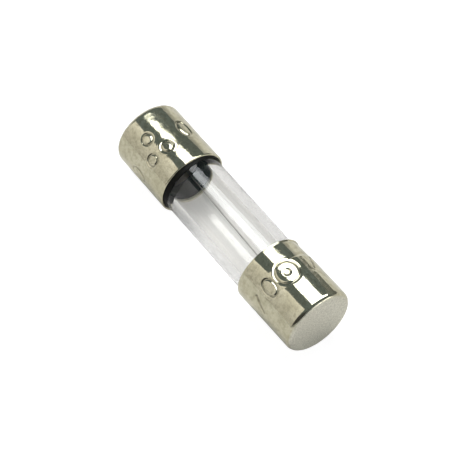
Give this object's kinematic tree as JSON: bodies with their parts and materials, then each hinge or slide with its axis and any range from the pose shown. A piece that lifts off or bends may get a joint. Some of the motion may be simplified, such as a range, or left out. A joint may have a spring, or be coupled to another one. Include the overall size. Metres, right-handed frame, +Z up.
{
  "type": "cartridge fuse",
  "caption": "Small glass cartridge fuse: a clear tube with a fine wire element and a stamped metal contact cap over each end.",
  "frame": {"origin": "centre of the fuse, on its axis, midway between the two end faces", "axes": "+X along the fuse's axis towards the front cap, +Z up, +Y to the side"},
  "size_m": [0.02, 0.0052, 0.0052],
  "materials": {
    "tube_glass": "clear, fire-polished ends",
    "element_wire": "tinned, dull",
    "cap_metal": "bright nickel plate over brass",
    "solder": "tin solder, satin",
    "cement": "black cement, satin"
  },
  "bodies": {
    "root": {"glass_tube": "tube_glass", "fuse_wire": "element_wire", "front_cap": "cap_metal", "rear_cap": "cap_metal", "front_solder": "solder", "rear_solder": "solder", "front_cement": "cement", "rear_cement": "cement"}
  },
  "joints": []
}
